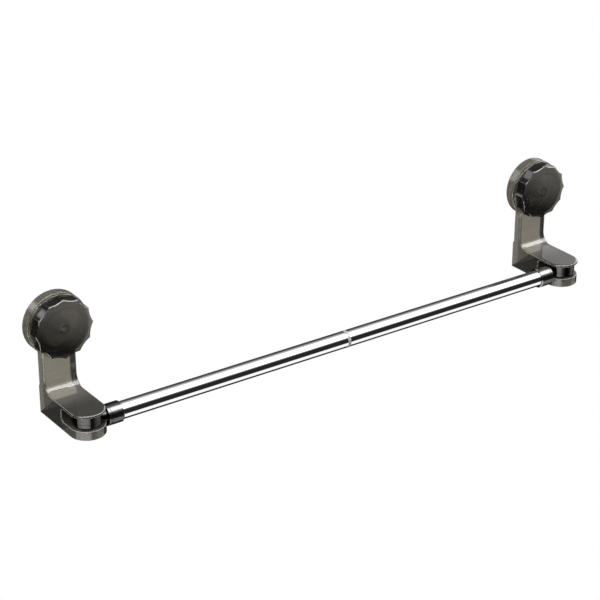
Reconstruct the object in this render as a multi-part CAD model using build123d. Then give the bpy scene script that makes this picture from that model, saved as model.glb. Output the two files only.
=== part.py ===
# Suction grab bar: a tube held between two swivelling brackets, each on its own screw-down suction head.
# Frame, in millimetres: the origin is the centre of the left suction face, on the wall.
# +X runs along the bar to the right head, +Y points into the wall and +Z is up.
from build123d import *
from math import cos, pi, radians, sin
import os

os.makedirs("parts", exist_ok=True)

# ---- driving dimensions ------------------------------------------------------------
HEAD_SPAN = 634.0  # between the two heads, and between the two swivel axes
BAR_DROP = 87.2  # bar axis below the centre of the heads
BAR_OUT = 64.0  # bar axis out from the wall
TUBE_R = 9.5  # 19 mm tube
TUBE_WALL = 1.0
HEAD_R = 33.9  # suction head housing
KNOB_R = 32.9  # over the twelve corners of the knob
KNOB_CORNERS = 12
LIFT = 3.0  # how far the thread lifts the stud and the middle of the cup
THREAD_R = 4.0
THREAD_PITCH = 2.0
THREAD_DEPTH = 0.55
RUN_GAP = 0.3  # between faces that turn past each other
FIT_GAP = 0.05  # radial, a shaft that turns in its hole
CLEARANCE = 0.15  # radial, between parts that slide loosely
CUT = 1.0  # how far a cut runs past the face that it opens
FAR = 60.0  # longer than any cut needs

# ---- suction head, measured out from the wall along -Y --------------------------------------------
CUP_R = 33.4
CUP_LIP = 0.8
CUP_THICK = 2.2
CUP_BEVEL = 0.8
CAVITY_R = 30.0
CAVITY_DEPTH = 4.6
HOUSING_DEPTH = 11.6
HOUSING_EDGE = 0.8
SEAT_R = 32.6
SEAT_DEPTH = 12.1  # raised seat that carries the slip ring and the washer
SLIP_RING_R = 33.1
SLIP_RING_BORE_R = 24.6
SLIP_RING_THICK = 2.5
SLIP_RING_EDGE = 0.7
WASHER_THICK = 1.0
KNOB_BACK = SEAT_DEPTH + SLIP_RING_THICK + RUN_GAP
KNOB_FRONT = 27.2
KNOB_SKIN = 2.4
KNOB_CAVITY_R = 29.0
SCALLOP = 1.2  # how far each side of the knob is hollowed
KNOB_BEVEL = 0.8
KNOB_CORNER_R = 0.9
RIB_R = 24.2
RIB_WALL = 1.8
RIB_BACK = 16.4
HUB_BACK = SEAT_DEPTH + WASHER_THICK + RUN_GAP
HUB_STEP = 20.6
HUB_R = 9.4
HUB_NOSE_R = 5.8
NUT_FLATS = 13.0
NUT_FRONT = 19.6
STUD_HEAD_R = 10.5
STUD_HEAD_BACK = 2.3
STUD_HEAD_FRONT = 4.3
STUD_KEY_FLATS = 11.0
STUD_KEY_R = STUD_KEY_FLATS / 2 / cos(radians(30))
STUD_KEY_FRONT = 9.6
STUD_TIP = 21.8
STUD_TIP_BEVEL = 0.6
POCKET_R = 14.0  # round the stud's head and the boss of the cup
POCKET_DEPTH = STUD_HEAD_FRONT + LIFT + 1.3

# ---- bracket leg and arm: heights are measured from the bar axis ----------------------------------
ARM_HALF = 19.3  # half width of the leg and arm, and the radius of the arm's round end
ARM_TOP = 15.2
ARM_BOTTOM = -12.5
LEG_FRONT = 12.0
LEG_BACK = 2.0
LEG_TOP = 68.6  # inside the housing
PAD_BACK = 0.4  # the foot of the leg stands closer to the wall than the leg
PAD_TOP = 19.0
BEND_R = 12.5
SOFT_EDGE = 2.4
FOOT_EDGE = 1.0
SLOT_TOP = 12.4
SLOT_FLOOR = -2.4
SLOT_REACH = 18.8  # from the swivel axis back to the closed end of the slot
SLOT_CORNER = 5.0
SLOT_EDGE = 0.3

# ---- swivel joint and bar ends: distances along the bar are from the swivel axis ------------------
SCREW_R = 4.0
SCREW_TIP_R = 3.0
SCREW_TIP = 1.4
SCREW_HEAD_R = 6.0
SCREW_HEAD = 3.2
SCREW_SINK = 0.4
SCREW_SOCKET = 4.0
SCREW_SOCKET_DEPTH = 2.2
FRICTION_WASHER_R = 14.0
FRICTION_WASHER = 0.8
KNUCKLE_R = 16.0
KNUCKLE_LOWER_R = 15.6
KNUCKLE_STEP = 3.6
KNUCKLE_GROOVE = 0.5
KNUCKLE_WAIST = 0.5
KNUCKLE_EDGE = 0.4
WASHER_GAP = 0.25
SPIGOT_R = TUBE_R - TUBE_WALL - 0.1
SPIGOT_START = 9.6
SPIGOT_END = 50.0
SPIGOT_BEVEL = 1.0
TONGUE_END = 20.3  # the spigot is fully round from here on
COLLAR_R = 11.35
COLLAR_START = 20.1
COLLAR_END = 37.5
COLLAR_BEVEL = 0.9
COLLAR_EDGE = 0.4
COLLAR_GROOVE = 23.2
COLLAR_GROOVE_HALF = 0.3
COLLAR_GROOVE_DEPTH = 0.4
TUBE_START = 26.0
JOINT_X = 320.5  # middle of the ring between the two tubes
JOINT_RING = 3.8
JOINT_RING_R = 9.7
JOINT_RING_EDGE = 0.4
JOINT_STUD_R = 5.0
JOINT_STUD_HALF = 20.0
JOINT_STUD_BEVEL = 0.8
JOINT_INSERT = 22.0

KNUCKLE_BOTTOM = SLOT_FLOOR + FRICTION_WASHER + WASHER_GAP
KNUCKLE_TOP = SLOT_TOP - FRICTION_WASHER - WASHER_GAP


# ---- plain shapes on the three main directions ------------------------------------------------------
def out_disc(r, back, front):
    """A disc about the head's axis, between two distances out from the wall."""
    return Pos(0, -(back + front) / 2, 0) * Rot(90, 0, 0) * Cylinder(r, front - back)


def out_hex(flats, back, front):
    """A hexagonal bar about the head's axis, between two distances out from the wall."""
    outline = Plane.XZ.offset(back) * RegularPolygon(flats / 2, 6, major_radius=False)
    return extrude(outline, front - back)


def pivot_disc(r, bottom, top):
    """A disc about the swivel axis, between two heights above the bar axis."""
    return Pos(0, -BAR_OUT, (bottom + top) / 2 - BAR_DROP) * Cylinder(r, top - bottom)


def bar_disc(r, start, end):
    """A round bar about the bar axis, between two distances from the left swivel axis."""
    return Pos((start + end) / 2, -BAR_OUT, -BAR_DROP) * Rot(0, 90, 0) * Cylinder(r, end - start)


def near(value, target):
    return abs(value - target) < 0.01


# ---- suction head ------------------------------------------------------------
def suction_cup():
    lip = out_disc(CUP_R, 0, CUP_LIP)
    membrane = out_disc(CAVITY_R - RUN_GAP, CUP_LIP, CUP_THICK)
    cup = lip + membrane
    front_rim = cup.edges().filter_by(GeomType.CIRCLE).sort_by(Axis.Y)[0]
    return chamfer(front_rim, CUP_BEVEL)


def cup_stud():
    """Wide head bonded to the cup, a hexagon that can't turn in the housing, and a coarse thread."""
    head = out_disc(STUD_HEAD_R, STUD_HEAD_BACK, STUD_HEAD_FRONT)
    key = out_hex(STUD_KEY_FLATS, STUD_HEAD_FRONT, STUD_KEY_FRONT)
    return head + key + thread(STUD_KEY_FRONT, STUD_TIP)


def thread(back, front):
    """A round bar with one ring groove for each pitch of the thread."""
    root = THREAD_R - THREAD_DEPTH
    points = [(0, -back), (THREAD_R, -back)]
    crest = back
    while crest + THREAD_PITCH < front:
        points += [
            (THREAD_R, -crest - 0.25 * THREAD_PITCH),
            (root, -crest - 0.5 * THREAD_PITCH),
            (THREAD_R, -crest - 0.75 * THREAD_PITCH),
        ]
        crest += THREAD_PITCH
    points += [(THREAD_R, -front + STUD_TIP_BEVEL), (THREAD_R - STUD_TIP_BEVEL, -front), (0, -front)]
    return revolve(make_face(Polyline(*points, close=True)), Axis.Y, 360)


def slip_ring():
    front = SEAT_DEPTH + SLIP_RING_THICK
    ring = out_disc(SLIP_RING_R, SEAT_DEPTH, front)
    ring = fillet(ring.edges().filter_by(GeomType.CIRCLE).sort_by(Axis.Y)[0], SLIP_RING_EDGE)
    return ring - out_disc(SLIP_RING_BORE_R, 0, FAR)


def thrust_washer():
    front = SEAT_DEPTH + WASHER_THICK
    return out_disc(HUB_R, SEAT_DEPTH, front) - out_disc(STUD_KEY_R + RUN_GAP, 0, FAR)


# ---- knob ------------------------------------------------------------
def knob_outline():
    """Twelve corners joined by sides that are hollowed a little."""
    step = 2 * pi / KNOB_CORNERS
    hollow_r = KNOB_R * cos(step / 2) - SCALLOP
    sides = []
    for i in range(KNOB_CORNERS):
        a, b = i * step, (i + 1) * step
        m = (a + b) / 2
        sides.append(
            ThreePointArc(
                (KNOB_R * cos(a), KNOB_R * sin(a)),
                (hollow_r * cos(m), hollow_r * sin(m)),
                (KNOB_R * cos(b), KNOB_R * sin(b)),
            )
        )
    return make_face(sides)


def knob():
    body = extrude(Plane.XZ.offset(KNOB_BACK) * knob_outline(), KNOB_FRONT - KNOB_BACK)
    body = fillet(body.edges().filter_by(Axis.Y), KNOB_CORNER_R)
    body = chamfer(body.faces().sort_by(Axis.Y)[0].edges(), KNOB_BEVEL)
    inner_front = KNOB_FRONT - KNOB_SKIN
    body -= out_disc(KNOB_CAVITY_R, 0, inner_front)
    body += out_disc(RIB_R, RIB_BACK, inner_front) - out_disc(RIB_R - RIB_WALL, 0, inner_front)
    body += out_disc(HUB_R, HUB_BACK, HUB_STEP) + out_disc(HUB_NOSE_R, HUB_STEP, inner_front)
    body -= out_disc(THREAD_R + CLEARANCE, 0, STUD_TIP + LIFT + RUN_GAP)
    return body - out_hex(NUT_FLATS, HUB_BACK - CUT, NUT_FRONT)


def knob_nut():
    return out_hex(NUT_FLATS, HUB_BACK + FIT_GAP, NUT_FRONT) - out_disc(THREAD_R + FIT_GAP, 0, FAR)


# ---- bracket ------------------------------------------------------------
def leg_and_arm():
    """Side profile of the leg, bend and arm, trimmed in plan to the round end of the arm."""
    top, bottom, shoulder = ARM_TOP - BAR_DROP, ARM_BOTTOM - BAR_DROP, PAD_TOP - BAR_DROP
    leg_top = LEG_TOP - BAR_DROP
    tip = -BAR_OUT - ARM_HALF
    bend_mid = BEND_R * (1 - cos(radians(45)))
    outline = [
        Line((-LEG_BACK, leg_top), (-LEG_FRONT, leg_top)),
        Line((-LEG_FRONT, leg_top), (-LEG_FRONT, top + BEND_R)),
        ThreePointArc(
            (-LEG_FRONT, top + BEND_R),
            (-LEG_FRONT - bend_mid, top + bend_mid),
            (-LEG_FRONT - BEND_R, top),
        ),
        Line((-LEG_FRONT - BEND_R, top), (tip, top)),
        Line((tip, top), (tip, bottom)),
        Line((tip, bottom), (-PAD_BACK, bottom)),
        Line((-PAD_BACK, bottom), (-PAD_BACK, shoulder)),
        Line((-PAD_BACK, shoulder), (-LEG_BACK, shoulder + LEG_BACK - PAD_BACK)),
        Line((-LEG_BACK, shoulder + LEG_BACK - PAD_BACK), (-LEG_BACK, leg_top)),
    ]
    slab = extrude(Plane.YZ * make_face(outline), ARM_HALF, both=True)
    plan = Rectangle(2 * ARM_HALF, BAR_OUT, align=(Align.CENTER, Align.MAX))
    plan += Pos(0, -BAR_OUT) * Circle(ARM_HALF)
    arm = slab & extrude(Plane.XY.offset(-FAR - BAR_DROP) * plan, 3 * FAR)
    arm = fillet([e for e in arm.edges() if is_soft_edge(e, top, leg_top)], SOFT_EDGE)
    return fillet([e for e in arm.edges() if is_foot_edge(e, bottom)], FOOT_EDGE)


def is_soft_edge(edge, top, leg_top):
    """True along the front of the leg, round the bend and round the top of the arm."""
    mid = edge.center()
    at_side = near(abs(mid.X), ARM_HALF)
    on_leg = at_side and near(mid.Y, -LEG_FRONT) and mid.Z < leg_top
    on_bend = at_side and edge.geom_type == GeomType.CIRCLE
    on_arm = at_side and near(mid.Z, top)
    on_tip = edge.geom_type == GeomType.CIRCLE and near(mid.Z, top)
    return on_leg or on_bend or on_arm or on_tip


def is_foot_edge(edge, bottom):
    """True along both sides and round the end of the underside."""
    mid = edge.center()
    return near(mid.Z, bottom) and mid.Y < -2 * PAD_BACK


def housing():
    body = out_disc(HEAD_R, CUP_LIP, HOUSING_DEPTH)
    body = fillet(body.edges().filter_by(GeomType.CIRCLE).sort_by(Axis.Y)[0], HOUSING_EDGE)
    return body + out_disc(SEAT_R, HOUSING_DEPTH - CUT, SEAT_DEPTH)


def swivel_slot():
    length = SLOT_REACH + FAR
    height = SLOT_TOP - SLOT_FLOOR
    slot = Pos(0, -BAR_OUT + SLOT_REACH - length / 2, (SLOT_TOP + SLOT_FLOOR) / 2 - BAR_DROP) * Box(
        2 * FAR, length, height
    )
    closed_end = slot.edges().filter_by(Axis.X).sort_by(Axis.Y)[-2:]
    return fillet(closed_end, SLOT_CORNER)


def is_slot_edge(edge):
    """True for the edges where the slot opens through the sides and the round end of the arm."""
    mid = edge.center()
    height = mid.Z + BAR_DROP
    at_height = SLOT_FLOOR - FIT_GAP < height < SLOT_TOP + FIT_GAP
    across = near(mid.X, 0) and edge.geom_type == GeomType.LINE
    return at_height and mid.Y < -BAR_OUT + SLOT_REACH + FIT_GAP and not across


def bracket():
    arm = leg_and_arm() - swivel_slot()
    arm = fillet([e for e in arm.edges() if is_slot_edge(e)], SLOT_EDGE)
    body = housing() + arm
    body -= out_disc(CAVITY_R, -CUT, CAVITY_DEPTH)
    body -= out_disc(POCKET_R, 0, POCKET_DEPTH)
    body -= out_hex(STUD_KEY_FLATS + 2 * CLEARANCE, 0, SEAT_DEPTH + CUT)
    body -= pivot_disc(SCREW_R, ARM_BOTTOM - CUT, SLOT_FLOOR + CUT)
    body -= pivot_disc(SCREW_HEAD_R, ARM_BOTTOM - CUT, ARM_BOTTOM + SCREW_SINK + SCREW_HEAD)
    return body - pivot_disc(SCREW_TIP_R, SLOT_TOP - CUT, SLOT_TOP + SCREW_TIP)


# ---- swivel ------------------------------------------------------------
def pivot_screw():
    head_bottom = ARM_BOTTOM + SCREW_SINK
    head_top = head_bottom + SCREW_HEAD
    screw = pivot_disc(SCREW_HEAD_R, head_bottom, head_top) + pivot_disc(SCREW_R, head_top, SLOT_TOP)
    screw += pivot_disc(SCREW_TIP_R, SLOT_TOP, SLOT_TOP + SCREW_TIP)
    hexagon = RegularPolygon(SCREW_SOCKET / 2, 6, major_radius=False)
    return screw - extrude(Pos(0, -BAR_OUT, head_bottom - BAR_DROP) * hexagon, SCREW_SOCKET_DEPTH)


def friction_washer(bottom):
    top = bottom + FRICTION_WASHER
    return pivot_disc(FRICTION_WASHER_R, bottom, top) - pivot_disc(SCREW_R, bottom - CUT, top + CUT)


def knuckle():
    """Barrel between the jaws of the bracket, with a tongue that leads to a round spigot."""
    upper = pivot_disc(KNUCKLE_R, KNUCKLE_STEP, KNUCKLE_TOP)
    upper = fillet(upper.edges().filter_by(GeomType.CIRCLE).sort_by(Axis.Z)[-1], KNUCKLE_EDGE)
    lower = pivot_disc(KNUCKLE_LOWER_R, KNUCKLE_BOTTOM, KNUCKLE_STEP - KNUCKLE_GROOVE)
    lower = fillet(lower.edges().filter_by(GeomType.CIRCLE).sort_by(Axis.Z)[0], KNUCKLE_EDGE)
    neck = pivot_disc(KNUCKLE_LOWER_R - KNUCKLE_WAIST, KNUCKLE_BOTTOM + CUT, KNUCKLE_STEP + CUT)
    barrel = upper + lower + neck
    spigot = bar_disc(SPIGOT_R, SPIGOT_START, SPIGOT_END)
    spigot = chamfer(spigot.edges().filter_by(GeomType.CIRCLE).sort_by(Axis.X)[-1], SPIGOT_BEVEL)
    over_jaw = Pos(TONGUE_END - FAR / 2, -BAR_OUT, KNUCKLE_BOTTOM - BAR_DROP - FAR / 2)
    tongue = spigot - over_jaw * Box(FAR, FAR, FAR)
    return barrel + tongue - pivot_disc(SCREW_R + FIT_GAP, KNUCKLE_BOTTOM - CUT, KNUCKLE_TOP + CUT)


# ---- bar ------------------------------------------------------------
def collar():
    sleeve = bar_disc(COLLAR_R, COLLAR_START, COLLAR_END)
    ends = sleeve.edges().filter_by(GeomType.CIRCLE).sort_by(Axis.X)
    sleeve = chamfer(ends[-1], COLLAR_BEVEL)
    sleeve = fillet(sleeve.edges().filter_by(GeomType.CIRCLE).sort_by(Axis.X)[0], COLLAR_EDGE)
    low, high = COLLAR_GROOVE - COLLAR_GROOVE_HALF, COLLAR_GROOVE + COLLAR_GROOVE_HALF
    groove = bar_disc(COLLAR_R + CUT, low, high)
    groove -= bar_disc(COLLAR_R - COLLAR_GROOVE_DEPTH, COLLAR_GROOVE - CUT, COLLAR_GROOVE + CUT)
    sleeve -= groove
    sleeve -= bar_disc(TUBE_R, TUBE_START, COLLAR_END + CUT)
    return sleeve - bar_disc(SPIGOT_R, COLLAR_START - CUT, TUBE_START + CUT)


def tube(start, end):
    return bar_disc(TUBE_R, start, end) - bar_disc(TUBE_R - TUBE_WALL, start - CUT, end + CUT)


def joint_ring():
    ring = bar_disc(JOINT_RING_R, JOINT_X - JOINT_RING / 2, JOINT_X + JOINT_RING / 2)
    ring = fillet(ring.edges().filter_by(GeomType.CIRCLE), JOINT_RING_EDGE)
    return ring - bar_disc(JOINT_STUD_R, JOINT_X - FAR, JOINT_X + FAR)


def joint_insert(start):
    insert = bar_disc(TUBE_R - TUBE_WALL, start, start + JOINT_INSERT)
    return insert - bar_disc(JOINT_STUD_R, start - CUT, start + JOINT_INSERT + CUT)


def joint_stud():
    stud = bar_disc(JOINT_STUD_R, JOINT_X - JOINT_STUD_HALF, JOINT_X + JOINT_STUD_HALF)
    return chamfer(stud.edges().filter_by(GeomType.CIRCLE), JOINT_STUD_BEVEL)


# ---- the whole object ------------------------------------------------------------
SIDE_PARTS = {
    "suction_cup": suction_cup(),
    "cup_stud": cup_stud(),
    "bracket": bracket(),
    "slip_ring": slip_ring(),
    "thrust_washer": thrust_washer(),
    "knob": knob(),
    "knob_nut": knob_nut(),
    "pivot_screw": pivot_screw(),
    "upper_washer": friction_washer(SLOT_TOP - FRICTION_WASHER),
    "lower_washer": friction_washer(SLOT_FLOOR),
    "knuckle": knuckle(),
    "collar": collar(),
}
BAR_PARTS = {
    "left_tube": tube(TUBE_START, JOINT_X - JOINT_RING / 2),
    "right_tube": tube(JOINT_X + JOINT_RING / 2, HEAD_SPAN - TUBE_START),
    "joint_ring": joint_ring(),
    "joint_stud": joint_stud(),
    "left_joint_insert": joint_insert(JOINT_X - JOINT_RING / 2 - JOINT_INSERT),
    "right_joint_insert": joint_insert(JOINT_X + JOINT_RING / 2),
}

for name, shape in SIDE_PARTS.items():
    export_step(shape, f"parts/left_{name}.step")
    export_step(Pos(HEAD_SPAN, 0, 0) * mirror(shape, about=Plane.YZ), f"parts/right_{name}.step")
for name, shape in BAR_PARTS.items():
    export_step(shape, f"parts/{name}.step")
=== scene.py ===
import math

import bmesh
import bpy
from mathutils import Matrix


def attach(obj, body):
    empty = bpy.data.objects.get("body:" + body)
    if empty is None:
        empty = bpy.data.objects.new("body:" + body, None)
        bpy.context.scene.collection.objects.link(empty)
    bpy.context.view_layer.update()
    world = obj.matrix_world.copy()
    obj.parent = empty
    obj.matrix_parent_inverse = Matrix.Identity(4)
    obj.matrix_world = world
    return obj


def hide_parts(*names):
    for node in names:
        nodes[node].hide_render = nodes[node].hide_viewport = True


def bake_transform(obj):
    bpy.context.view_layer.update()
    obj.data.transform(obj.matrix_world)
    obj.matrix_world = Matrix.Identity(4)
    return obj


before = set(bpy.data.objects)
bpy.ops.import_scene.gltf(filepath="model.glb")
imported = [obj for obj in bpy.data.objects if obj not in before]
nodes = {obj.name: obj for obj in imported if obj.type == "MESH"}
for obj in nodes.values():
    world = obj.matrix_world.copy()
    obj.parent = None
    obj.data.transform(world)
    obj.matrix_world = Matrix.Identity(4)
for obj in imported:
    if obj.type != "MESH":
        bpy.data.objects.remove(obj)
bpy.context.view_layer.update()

MM = 0.001
HEAD_SPAN = 0.634
BAR_OUT = 0.064
SLOT_END = -0.0452  # closed end of the slot in the arm
SLOT_MIDDLE = -0.0822
SLOT_HALF = 0.0074
SLOT_CORNER = 0.005
RIB_R = 0.0233  # middle of the ring rib inside a knob
SIDES = {"left": 0.0, "right": HEAD_SPAN}

# ---- camera, floor and studio ----------------------------------------------------------------------
CAMERA_PLACE = (-0.79802, -1.57326, 0.84847)
CAMERA_DOWN = 0.441939  # radians below the horizon
CAMERA_TURN = -0.611741  # radians about +Z from looking along +Y
CAMERA_LENS = 115.54
FLOOR_Z = -3.0  # so far down that the floor doesn't hide the view from below
FLOOR_SIZE = 60.0
DARK_LEVEL = 0.02
BRIGHTEST = 20.0  # above every band
SECOND_LEVEL = 1.2  # the brightest that the room looks in the mirror image of a mirror image
SECOND_DEPTH = 2.5  # a longer path of light has met two mirrors
# (lowest, highest, lower edge, upper edge) angle in degrees about +X, measured upwards from straight ahead
# of the wall, (lowest, highest, edge) of the direction's X part, and brightness
STUDIO_BANDS = (
    ((48, 90, 8, 6), (-0.85, 0.95, 0.08), 10.0),  # strip box above and in front
    ((120, 172, 10, 8), (-2.0, 2.0, 0.05), 0.08),  # far wall
    ((34, 118, 11, 34), (-2.0, 2.0, 0.05), 1.05),  # white ceiling round it
    ((100, 175, 10, 10), (0.72, 2.0, 0.03), 4.0),  # side box behind on the right
    ((137, 165, 6, 6), (0.615, 2.0, 0.015), 0.95),
    ((128, 160, 6, 6), (-0.8, -0.30, 0.08), 3.0),  # side box behind on the left
    ((-79, -32.5, 6, 4), (-0.1, 2.0, 0.05), 1.1),  # light that comes back from the floor in front
    ((-110, -28, 8, 4), (-0.9, -0.1, 0.12), 4.0),
)


def view_camera():
    data = bpy.data.cameras.new("camera")
    data.lens = CAMERA_LENS
    data.clip_end = 200.0
    camera = bpy.data.objects.new("camera", data)
    camera.location = CAMERA_PLACE
    camera.rotation_euler = (math.pi / 2 - CAMERA_DOWN, 0, CAMERA_TURN)
    bpy.context.scene.collection.objects.link(camera)
    bpy.context.scene.camera = camera


def link(nt, a, b):
    nt.links.new(a, b)


def math_node(nt, operation, *values):
    """A Math node fed with numbers or sockets."""
    node = nt.nodes.new("ShaderNodeMath")
    node.operation = operation
    for i, v in enumerate(values):
        if isinstance(v, (int, float)):
            node.inputs[i].default_value = v
        else:
            link(nt, v, node.inputs[i])
    return node.outputs[0]


def times(nt, first, *others):
    for value in others:
        first = math_node(nt, "MULTIPLY", first, value)
    return first


def largest(nt, first, *others):
    for value in others:
        first = math_node(nt, "MAXIMUM", first, value)
    return first


def one_less(nt, *values):
    """1 less each of the values."""
    left = 1.0
    for value in values:
        left = math_node(nt, "SUBTRACT", left, value)
    return left


def smooth_step(nt, value, start, end):
    """0 before start and 1 after end, with a smooth ramp between them."""
    node = nt.nodes.new("ShaderNodeMapRange")
    node.interpolation_type = "SMOOTHSTEP"
    link(nt, value, node.inputs["Value"])
    node.inputs["From Min"].default_value = start
    node.inputs["From Max"].default_value = end
    return node.outputs["Result"]


def inside(nt, value, low, high, low_edge, high_edge=None):
    """1 between low and high and 0 outside them, with a soft edge that reaches as far on either side."""
    high_edge = high_edge or low_edge
    rise = smooth_step(nt, value, low - low_edge, low + low_edge)
    fall = smooth_step(nt, value, high + high_edge, high - high_edge)
    return times(nt, rise, fall)


def studio():
    """Soft boxes and dark flags for what mirrors the room, and plain white for what looks past the object."""
    world = bpy.data.worlds.new("studio")
    bpy.context.scene.world = world
    world.use_nodes = True
    nt = world.node_tree
    background = nt.nodes["Background"]
    direction = nt.nodes.new("ShaderNodeTexCoord").outputs["Generated"]
    parts = nt.nodes.new("ShaderNodeSeparateXYZ")
    link(nt, direction, parts.inputs[0])
    x, y, z = parts.outputs
    out = times(nt, y, -1.0)
    angle = math_node(nt, "DEGREES", math_node(nt, "ARCTAN2", z, out))
    total = DARK_LEVEL
    for angles, x_range, level in STUDIO_BANDS:
        lit = times(nt, inside(nt, angle, *angles), inside(nt, x, *x_range), level)
        total = largest(nt, total, lit)
    path = nt.nodes.new("ShaderNodeLightPath")
    again = math_node(nt, "GREATER_THAN", path.outputs["Ray Depth"], SECOND_DEPTH)
    most = math_node(nt, "SUBTRACT", BRIGHTEST, times(nt, again, BRIGHTEST - SECOND_LEVEL))
    total = math_node(nt, "MINIMUM", total, most)
    total = largest(nt, total, path.outputs["Is Camera Ray"], path.outputs["Is Transmission Ray"])
    colour = nt.nodes.new("ShaderNodeCombineColor")
    for socket in colour.inputs:
        link(nt, total, socket)
    link(nt, colour.outputs[0], background.inputs["Color"])


def floor():
    half = FLOOR_SIZE / 2
    mesh = bpy.data.meshes.new("floor")
    corners = [(-half, -half, FLOOR_Z), (half, -half, FLOOR_Z), (half, half, FLOOR_Z), (-half, half, FLOOR_Z)]
    mesh.from_pydata(corners, [], [(0, 1, 2, 3)])
    plane = bpy.data.objects.new("floor", mesh)
    bpy.context.scene.collection.objects.link(plane)
    material = bpy.data.materials.new("pale_floor")
    material.use_nodes = True
    shader = material.node_tree.nodes["Principled BSDF"]
    shader.inputs["Base Color"].default_value = (0, 0, 0, 1)
    shader.inputs["Specular IOR Level"].default_value = 0.0
    shader.inputs["Emission Color"].default_value = (1, 1, 1, 1)
    shader.inputs["Emission Strength"].default_value = 1.0
    mesh.materials.append(material)
    plane.visible_glossy = False
    plane.visible_diffuse = False
    plane.visible_shadow = False


# ---- materials ------------------------------------------------------------------------------------------
def principled(name):
    material = bpy.data.materials.new(name)
    material.use_nodes = True
    nt = material.node_tree
    return material, nt, nt.nodes["Principled BSDF"]


def noise(nt, scale, detail=2.0, roughness=0.5, stretch=(1, 1, 1)):
    """Noise in the frame's own coordinates, so that it moves with its piece."""
    place = nt.nodes.new("ShaderNodeTexCoord").outputs["Object"]
    mapping = nt.nodes.new("ShaderNodeMapping")
    mapping.inputs["Scale"].default_value = stretch
    link(nt, place, mapping.inputs["Vector"])
    node = nt.nodes.new("ShaderNodeTexNoise")
    node.inputs["Scale"].default_value = scale
    node.inputs["Detail"].default_value = detail
    node.inputs["Roughness"].default_value = roughness
    link(nt, mapping.outputs[0], node.inputs["Vector"])
    return node.outputs["Fac"]


def ramp(nt, value, low, high):
    """Turns 0..1 noise into low..high, which may be numbers or colours."""
    if isinstance(low, (int, float)):
        node = nt.nodes.new("ShaderNodeMapRange")
        link(nt, value, node.inputs["Value"])
        node.inputs["To Min"].default_value = low
        node.inputs["To Max"].default_value = high
        return node.outputs["Result"]
    node = nt.nodes.new("ShaderNodeMix")
    node.data_type = "RGBA"
    link(nt, value, node.inputs["Factor"])
    node.inputs[6].default_value = (*low, 1)
    node.inputs[7].default_value = (*high, 1)
    return node.outputs[2]


def scaled(nt, colour, factor):
    """A colour socket multiplied by a number socket."""
    node = nt.nodes.new("ShaderNodeVectorMath")
    node.operation = "SCALE"
    link(nt, colour, node.inputs[0])
    link(nt, factor, node.inputs["Scale"])
    return node.outputs[0]


# Clear plastic: noise scales are per metre, and depths are how far the noise moves what it varies.
FLOW_SCALE, FLOW_DEPTH = 120.0, 0.1  # colour of the melt, drawn out along X
FLOW_STRETCH = (0.25, 1, 1.6)
POLISH_SCALE = 320.0
HAZE_SCALE, HAZE_DEPTH = 150.0, 0.3
DENSITY_ROOM = 1.25  # keeps the absorption's colour above black
PLASTIC_IOR = 1.5
INSIDE_SHARE = 0.015  # how much of the mirror is left on the inner side of a clear surface
HAZE_COLOUR = (0.84, 0.8, 0.72, 1)
RIM_PAINTED_HIGHLIGHT = 0.11  # painted highlight: how milky the edges of the slot are made, for the bright lines that light draws along them
ARM_PAINTED_LIGHT = (0.018, 0.045)  # painted light: how milky the top of the arm is made at its end and by the bend
FACE_PAINTED_LIGHT = 0.056  # painted light: how milky a knob's face is made at its upper right, where it is milkiest
HUB_CLEARS = 0.45  # how much of the face's painted light is missing where the hub and the rib join it, which paints them darker
RIB_CLEARS = 0.22

# Painted shade: where the bracket lets less light through, for the shade that thick plastic makes by turning
# light aside. A pair is where a smooth ramp starts and where it is full, in metres from the axis of the head: x
# across it, y into the wall and z up. Y_PER_Z slants the foot's ramp.
HEAD_Z = (-0.036, -0.030)
LEG_EDGE_X, LEG_EDGE_Y = (0.0105, 0.0125), (-0.006, -0.009)
SIDE_X = (-0.0185, -0.0190)
CORNER_X, CORNER_Y = (-0.0168, -0.0178), (-0.0088, -0.0098)
FOOT_SLANT, Y_PER_Z = (-0.098, -0.100), 0.87
JAW_Z, JAW_Y = (-0.0890, -0.0905), (-0.040, -0.048)
# How dark each of them is, as a share of SHADE, and how much of the foot's share is missing in the jaw.
SHADE = 0.72
HEAD_DARK, LEG_DARK, SIDE_DARK, CORNER_DARK, FOOT_DARK, JAW_LESS = 0.3, 1.2, 0.35, 0.8, 1.18, 0.58

# Other places with painted light or painted shade. A third number is the half width of the soft edges of a
# band.
LINE_HALF = (0.0010, 0.0003)  # distance from the slot's edge
MOUTH = (0.0182, 0.0187)  # distance from the arm's middle line, for the sides where the slot opens
ARM_TOP_Z = (-0.0735, -0.0660, 0.0005)
ARM_TOP_Y = (-0.060, -0.022)
ARM_TOP_RIM = (0.0191, 0.0187)  # the painted light on the arm stops short of the sides
KNOB_FACE_Y = (-0.0262, -0.0270)
FACE_SLANT = (0.5, 0.85)  # how much across and up count towards the upper right
FACE_RAMP = (-0.028, 0.028)
HUB_R = (0.0029, 0.0054, 0.0005)
RIB_BAND_R = (RIB_R - 0.0010, RIB_R + 0.0008, 0.0005)
KNOB_SKIRT_R = (0.024, 0.026)
SKIRT_SHADE = 0.5
STUD_WINDOW_R = (0.005, 0.004)
STUD_WINDOW = 1.1  # how much more the face lets through there, painted clearer so that the stud's highlight shows
RIB_HALF = (0.0013, 0.0005)
RIB_SHADE = 0.4
# Painted shade on the steel inside a head: the band of radius that it darkens, and how dark.
STEEL_SHADE_R = (0.00455, 0.020, 0.00025)
STEEL_SHADE_DARK = 0.8


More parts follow.
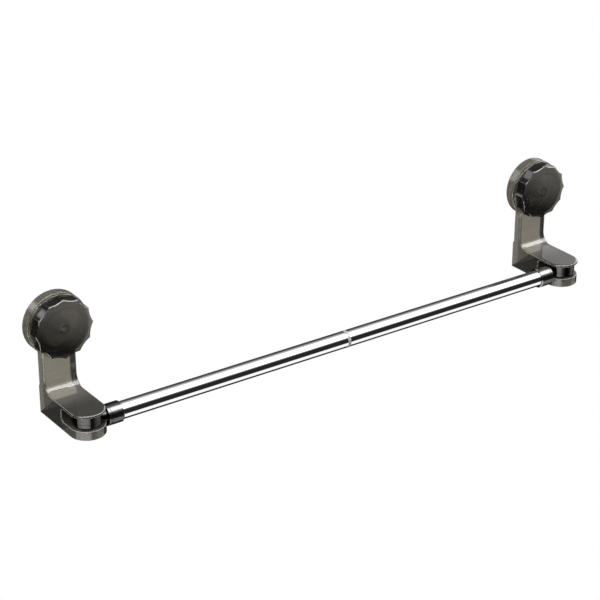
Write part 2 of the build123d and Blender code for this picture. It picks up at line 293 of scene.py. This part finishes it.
def from_head(nt):
    """Distances from the axis of the nearer head: across, into the wall and up."""
    parts = nt.nodes.new("ShaderNodeSeparateXYZ")
    link(nt, nt.nodes.new("ShaderNodeTexCoord").outputs["Object"], parts.inputs[0])
    x, y, z = parts.outputs
    right = times(nt, math_node(nt, "GREATER_THAN", x, HEAD_SPAN / 2), HEAD_SPAN)
    return math_node(nt, "SUBTRACT", x, right), y, z


def long_side(nt, a, b):
    return math_node(nt, "SQRT", math_node(nt, "ADD", times(nt, a, a), times(nt, b, b)))


def apart(nt, value, middle):
    return math_node(nt, "ABSOLUTE", math_node(nt, "SUBTRACT", value, middle))


def beyond(nt, value, limit):
    """How far the value is past the limit, and 0 before it."""
    return largest(nt, math_node(nt, "SUBTRACT", value, limit), 0.0)


def bracket_painted_shade(nt):
    """Painted shade on the see-through colour, darker where thick plastic turns light aside: in the foot, the
    arm and the leg's edge.
    """
    across, y, z = from_head(nt)
    head = smooth_step(nt, z, *HEAD_Z)
    below_head = one_less(nt, head)
    leg = times(nt, smooth_step(nt, across, *LEG_EDGE_X), smooth_step(nt, y, *LEG_EDGE_Y), below_head, LEG_DARK)
    side = times(nt, smooth_step(nt, across, *SIDE_X), SIDE_DARK)
    corner = times(nt, smooth_step(nt, across, *CORNER_X), smooth_step(nt, y, *CORNER_Y), CORNER_DARK)
    side = times(nt, largest(nt, side, corner), below_head)
    slant = math_node(nt, "ADD", z, times(nt, y, Y_PER_Z))
    jaw = times(nt, smooth_step(nt, z, *JAW_Z), smooth_step(nt, y, *JAW_Y), JAW_LESS)
    foot = times(nt, smooth_step(nt, slant, *FOOT_SLANT), math_node(nt, "SUBTRACT", FOOT_DARK, jaw))
    dark = largest(nt, leg, foot, times(nt, head, HEAD_DARK), side)
    return one_less(nt, times(nt, dark, SHADE))


def bracket_painted_light(nt):
    """Painted highlights as milky lines on the edges where the slot opens, and painted light as a haze on the
    top of the arm.
    """
    across, y, z = from_head(nt)
    past = math_node(nt, "MINIMUM", math_node(nt, "ADD", y, BAR_OUT), 0.0)
    from_middle = long_side(nt, across, past)
    deep = beyond(nt, y, SLOT_END - SLOT_CORNER)
    off = beyond(nt, apart(nt, z, SLOT_MIDDLE), SLOT_HALF - SLOT_CORNER)
    from_edge = apart(nt, long_side(nt, deep, off), SLOT_CORNER)
    line = times(nt, smooth_step(nt, from_edge, *LINE_HALF), smooth_step(nt, from_middle, *MOUTH), RIM_PAINTED_HIGHLIGHT)
    fade = ramp(nt, smooth_step(nt, y, *ARM_TOP_Y), *ARM_PAINTED_LIGHT)
    arm = times(nt, fade, inside(nt, z, *ARM_TOP_Z), smooth_step(nt, from_middle, *ARM_TOP_RIM))
    return largest(nt, line, arm)


def knob_painted_light(nt):
    """Painted light: the front face of a knob is made a little milky, most at its upper right, where it looks
    brightest.

    It is less milky where the hub and the rib join it from behind, which paints darker rings there, and its
    sides are clear.
    """
    across, y, z = from_head(nt)
    radius = long_side(nt, across, z)
    slant = math_node(nt, "ADD", times(nt, across, FACE_SLANT[0]), times(nt, z, FACE_SLANT[1]))
    share = times(nt, smooth_step(nt, slant, *FACE_RAMP), FACE_PAINTED_LIGHT)
    hub = times(nt, inside(nt, radius, *HUB_R), HUB_CLEARS)
    rib = times(nt, inside(nt, radius, *RIB_BAND_R), RIB_CLEARS)
    return times(nt, smooth_step(nt, y, *KNOB_FACE_Y), share, one_less(nt, hub, rib))


def knob_painted_shade(nt):
    """Painted light and shade in the see-through colour: clearer over the tip of the stud so that its highlight
    shows, and painted shade where the rib meets the face and in the thick skirt.
    """
    across, y, z = from_head(nt)
    radius = long_side(nt, across, z)
    window = times(nt, smooth_step(nt, radius, *STUD_WINDOW_R), STUD_WINDOW)
    rib = times(nt, smooth_step(nt, apart(nt, radius, RIB_R), *RIB_HALF), RIB_SHADE)
    skirt = times(nt, smooth_step(nt, y, *reversed(KNOB_FACE_Y)), smooth_step(nt, radius, *KNOB_SKIRT_R))
    face = math_node(nt, "ADD", one_less(nt, rib), window)
    return times(nt, face, one_less(nt, times(nt, skirt, SKIRT_SHADE)))


def clear_plastic(name, skin, absorb, rough=(0.03, 0.045), haze=0.015, painted_shade=None, painted_light=None):
    """Clear plastic: skin is what each surface lets through, and absorb is what each metre of it takes away.

    haze is the share of light that any surface scatters. The next argument gives painted shade, what to
    multiply skin by from place to place, and the last gives painted light, as haze where it is more.
    """
    material, nt, _ = principled(name)
    nt.nodes.remove(nt.nodes["Principled BSDF"])
    through = nt.nodes.new("ShaderNodeBsdfTransparent")
    flow = noise(nt, FLOW_SCALE, detail=3.0, stretch=FLOW_STRETCH)
    tint = ramp(nt, flow, [(1 - FLOW_DEPTH) * c for c in skin], [(1 + FLOW_DEPTH) * c for c in skin])
    if painted_shade:
        tint = scaled(nt, tint, painted_shade(nt))
    link(nt, tint, through.inputs["Color"])
    mirror = nt.nodes.new("ShaderNodeBsdfGlossy")
    link(nt, ramp(nt, noise(nt, POLISH_SCALE, detail=2.0), *rough), mirror.inputs["Roughness"])
    mirror.inputs["Color"].default_value = (1, 1, 1, 1)
    fresnel = nt.nodes.new("ShaderNodeFresnel")
    fresnel.inputs["IOR"].default_value = PLASTIC_IOR
    back = nt.nodes.new("ShaderNodeNewGeometry").outputs["Backfacing"]
    front = one_less(nt, times(nt, back, 1.0 - INSIDE_SHARE))
    surface = nt.nodes.new("ShaderNodeMixShader")
    link(nt, times(nt, fresnel.outputs[0], front), surface.inputs[0])
    link(nt, through.outputs[0], surface.inputs[1])
    link(nt, mirror.outputs[0], surface.inputs[2])
    milky = nt.nodes.new("ShaderNodeMixShader")
    share = ramp(nt, noise(nt, HAZE_SCALE, detail=4.0), (1 - HAZE_DEPTH) * haze, (1 + HAZE_DEPTH) * haze)
    if painted_light:
        share = largest(nt, share, painted_light(nt))
    link(nt, share, milky.inputs[0])
    link(nt, surface.outputs[0], milky.inputs[1])
    dull = nt.nodes.new("ShaderNodeBsdfDiffuse")
    dull.inputs["Color"].default_value = HAZE_COLOUR
    link(nt, dull.outputs[0], milky.inputs[2])
    output = nt.nodes["Material Output"]
    link(nt, milky.outputs[0], output.inputs["Surface"])
    volume = nt.nodes.new("ShaderNodeVolumeAbsorption")
    density = max(absorb) * DENSITY_ROOM
    volume.inputs["Color"].default_value = (*(1 - a / density for a in absorb), 1)
    volume.inputs["Density"].default_value = density
    link(nt, volume.outputs[0], output.inputs["Volume"])
    return material


def steel_painted_shade(nt):
    """Painted shade: the steel inside a head is made darker, but for the thread of the stud."""
    across, _, z = from_head(nt)
    steel_shade_band = inside(nt, long_side(nt, across, z), *STEEL_SHADE_R)
    return one_less(nt, times(nt, steel_shade_band, STEEL_SHADE_DARK))


def metal(name, low, high, rough, brushed=None, painted_shade=None):
    """Plated or plain metal with a little variation in colour and gloss, and painted shade where the last
    argument gives it.
    """
    material, nt, shader = principled(name)
    tint = ramp(nt, noise(nt, 45.0, detail=2.0), low, high)
    link(nt, scaled(nt, tint, painted_shade(nt)) if painted_shade else tint, shader.inputs["Base Color"])
    stretch = brushed or (1, 1, 1)
    link(nt, ramp(nt, noise(nt, 700.0, detail=3.0, stretch=stretch), *rough), shader.inputs["Roughness"])
    shader.inputs["Metallic"].default_value = 1.0
    return material


def solid_plastic(name, low, high, rough):
    material, nt, shader = principled(name)
    link(nt, ramp(nt, noise(nt, 90.0, detail=3.0), low, high), shader.inputs["Base Color"])
    link(nt, ramp(nt, noise(nt, 900.0), *rough), shader.inputs["Roughness"])
    return material


SMOKE = (9, 9.5, 11)
MATERIALS = {
    "smoked_plastic": clear_plastic(
        "smoked_plastic", (0.48, 0.46, 0.42), SMOKE, painted_shade=bracket_painted_shade, painted_light=bracket_painted_light
    ),
    "clear_smoked_plastic": clear_plastic(
        "clear_smoked_plastic", (0.6, 0.58, 0.54), SMOKE, rough=(0.14, 0.22)
    ),
    "knob_plastic": clear_plastic(
        "knob_plastic", (0.42, 0.405, 0.37), SMOKE, haze=0.004, painted_shade=knob_painted_shade, painted_light=knob_painted_light
    ),
    "clear_soft_plastic": clear_plastic(
        "clear_soft_plastic", (0.9, 0.9, 0.88), (12, 12, 16), rough=(0.1, 0.2)
    ),
    "steel": metal("steel", (0.5, 0.5, 0.51), (0.6, 0.6, 0.6), (0.22, 0.34), painted_shade=steel_painted_shade),
    "nylon": solid_plastic("nylon", (0.03, 0.03, 0.032), (0.05, 0.05, 0.052), (0.4, 0.55)),
    "ring_plastic": solid_plastic("ring_plastic", (0.13, 0.13, 0.128), (0.17, 0.17, 0.167), (0.25, 0.35)),
    "black_chrome": metal("black_chrome", (0.035, 0.033, 0.034), (0.05, 0.047, 0.049), (0.08, 0.16)),
    "collar_chrome": metal("collar_chrome", (0.1, 0.1, 0.1), (0.125, 0.125, 0.123), (0.18, 0.24)),
    "tube_chrome": metal("tube_chrome", (0.86, 0.86, 0.86), (0.93, 0.93, 0.93), (0.03, 0.07), (0.02, 1, 1)),
}


def dress(node_object, material):
    node_object.data.materials.clear()
    node_object.data.materials.append(material)


WORN_BY = {
    "smoked_plastic": ("bracket",),
    "clear_smoked_plastic": ("slip_ring",),
    "knob_plastic": ("knob",),
    "clear_soft_plastic": ("suction_cup",),
    "steel": ("cup_stud", "thrust_washer", "knob_nut", "pivot_screw", "joint_stud"),
    "nylon": ("upper_washer", "lower_washer", "left_joint_insert", "right_joint_insert"),
    "ring_plastic": ("joint_ring",),
    "black_chrome": ("knuckle",),
    "collar_chrome": ("collar",),
    "tube_chrome": ("left_tube", "right_tube"),
}


def dress_cad_nodes():
    for slot, pieces in WORN_BY.items():
        for piece in pieces:
            for name in {piece, f"left_{piece}", f"right_{piece}"} & set(nodes):
                dress(nodes[name], MATERIALS[slot])


# ---- suction cups and studs ---------------------------------------------------------------------------------
# Radius and distance out from the wall, in millimetres, from the middle of the suction face, round the lip
# and over the boss that wraps the stud's head.
CUP_PROFILE = (
    (0, 1.1), (10, 1.0), (18, 0.7), (25, 0.35), (29, 0.15), (31, 0.05), (32.6, 0.0), (33.2, 0.02), (33.4, 0.15),
    (33.3, 0.5), (32.9, 0.68), (32.4, 0.72), (31.2, 0.74), (29.6, 0.86), (29.0, 1.5), (26, 1.85), (22, 2.1),
    (18, 2.25), (14.5, 2.45), (13.2, 2.6), (12.8, 2.9), (12.5, 3.6), (12.2, 4.7), (11.8, 5.1), (11.2, 5.2),
    (6.9, 5.2), (6.6, 5.1), (6.5, 4.8), (6.5, 4.4), (10.4, 4.36), (10.57, 4.3), (10.57, 2.3), (10.4, 2.22),
    (5, 2.22), (0, 2.22),
)
STUD_HEAD = ((0, 2.3), (10.1, 2.3), (10.4, 2.45), (10.5, 2.7), (10.5, 3.9), (10.4, 4.15), (10.1, 4.3), (0, 4.3))
STUD_KEY = (4.3, 9.6, 6.35)  # start, end and corner radius of its hexagon
THREAD = (9.6, 21.8, 4.0, 0.62, 2.0)  # start, end, radius, depth and pitch
THREAD_STEPS = 12  # rings of points for each turn
THREAD_FLANK = 1.35  # over 1, so that the groove has a flat bottom
THREAD_RUN_OUT = 0.6  # length of the bevel at the tip
AROUND = 96
SHARP_ANGLE = 35


def spin(profile, centre):
    """Vertices and faces of a (radius, distance out) profile turned about the axis of a head."""
    verts, faces, rings = [], [], []
    for radius, out in profile:
        count = AROUND if radius > 0 else 1
        rings.append((len(verts), count))
        for i in range(count):
            angle = 2 * math.pi * i / AROUND
            verts.append((centre + radius * MM * math.cos(angle), -out * MM, radius * MM * math.sin(angle)))
    for (a, a_count), (b, b_count) in zip(rings, rings[1:]):
        for i in range(AROUND):
            j = (i + 1) % AROUND
            corners = [a + i % a_count, a + j % a_count, b + j % b_count, b + i % b_count]
            faces.append(tuple(dict.fromkeys(corners)))
    return verts, faces


def hexagon(start, end, corner, centre):
    verts = []
    for out in (start, end):
        for i in range(6):
            angle = math.radians(60 * i + 30)
            verts.append((centre + corner * MM * math.cos(angle), -out * MM, corner * MM * math.sin(angle)))
    faces = [(i, (i + 1) % 6, 6 + (i + 1) % 6, 6 + i) for i in range(6)]
    return verts, faces + [tuple(range(6)), tuple(range(11, 5, -1))]


def screw_thread(start, end, radius, depth, pitch, centre):
    """A right-handed thread with a rounded crest, running out at the tip."""
    steps = int((end - start) / pitch * THREAD_STEPS)
    verts = []
    for k in range(steps + 1):
        out = start + (end - start) * k / steps
        for i in range(AROUND):
            turn = i / AROUND
            phase = ((out - start) / pitch + turn) % 1.0
            groove = 0.5 - 0.5 * math.cos(2 * math.pi * phase)
            r = radius - depth * min(1.0, THREAD_FLANK * groove) - max(0.0, out - end + THREAD_RUN_OUT)
            angle = 2 * math.pi * turn
            verts.append((centre + r * MM * math.cos(angle), -out * MM, r * MM * math.sin(angle)))
    faces = []
    for k in range(steps):
        for i in range(AROUND):
            j = (i + 1) % AROUND
            faces.append((k * AROUND + i, k * AROUND + j, (k + 1) * AROUND + j, (k + 1) * AROUND + i))
    last = steps * AROUND
    return verts, faces + [tuple(range(AROUND)), tuple(range(last + AROUND - 1, last - 1, -1))]


def piece(name, parts, material):
    """One object from lists of vertices and faces, with its faces turned outwards."""
    verts, faces = [], []
    for more_verts, more_faces in parts:
        faces += [tuple(len(verts) + i for i in face) for face in more_faces]
        verts += more_verts
    mesh = bpy.data.meshes.new(name)
    mesh.from_pydata(verts, [], faces)
    bm = bmesh.new()
    bm.from_mesh(mesh)
    bmesh.ops.recalc_face_normals(bm, faces=bm.faces)
    bm.to_mesh(mesh)
    bm.free()
    mesh.shade_smooth()
    mesh.set_sharp_from_angle(angle=math.radians(SHARP_ANGLE))
    mesh.materials.append(MATERIALS[material])
    obj = bpy.data.objects.new(name, mesh)
    bpy.context.scene.collection.objects.link(obj)
    return obj


def suction_cups_and_studs():
    for side, centre in SIDES.items():
        cup = piece(f"{side}_cup_disc", [spin(CUP_PROFILE, centre)], "clear_soft_plastic")
        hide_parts(f"{side}_suction_cup")
        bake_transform(cup)
        parts = [spin(STUD_HEAD, centre), hexagon(*STUD_KEY, centre), screw_thread(*THREAD, centre)]
        stud = piece(f"{side}_threaded_stud", parts, "steel")
        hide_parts(f"{side}_cup_stud")
        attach(stud, f"{side}_stud_body")


# ---- the scene ----------------------------------------------------------------------------------------------
view_camera()
studio()
floor()
dress_cad_nodes()
suction_cups_and_studs()
bpy.context.scene.view_settings.view_transform = "Standard"
bpy.context.scene.cycles.transparent_max_bounces = 32
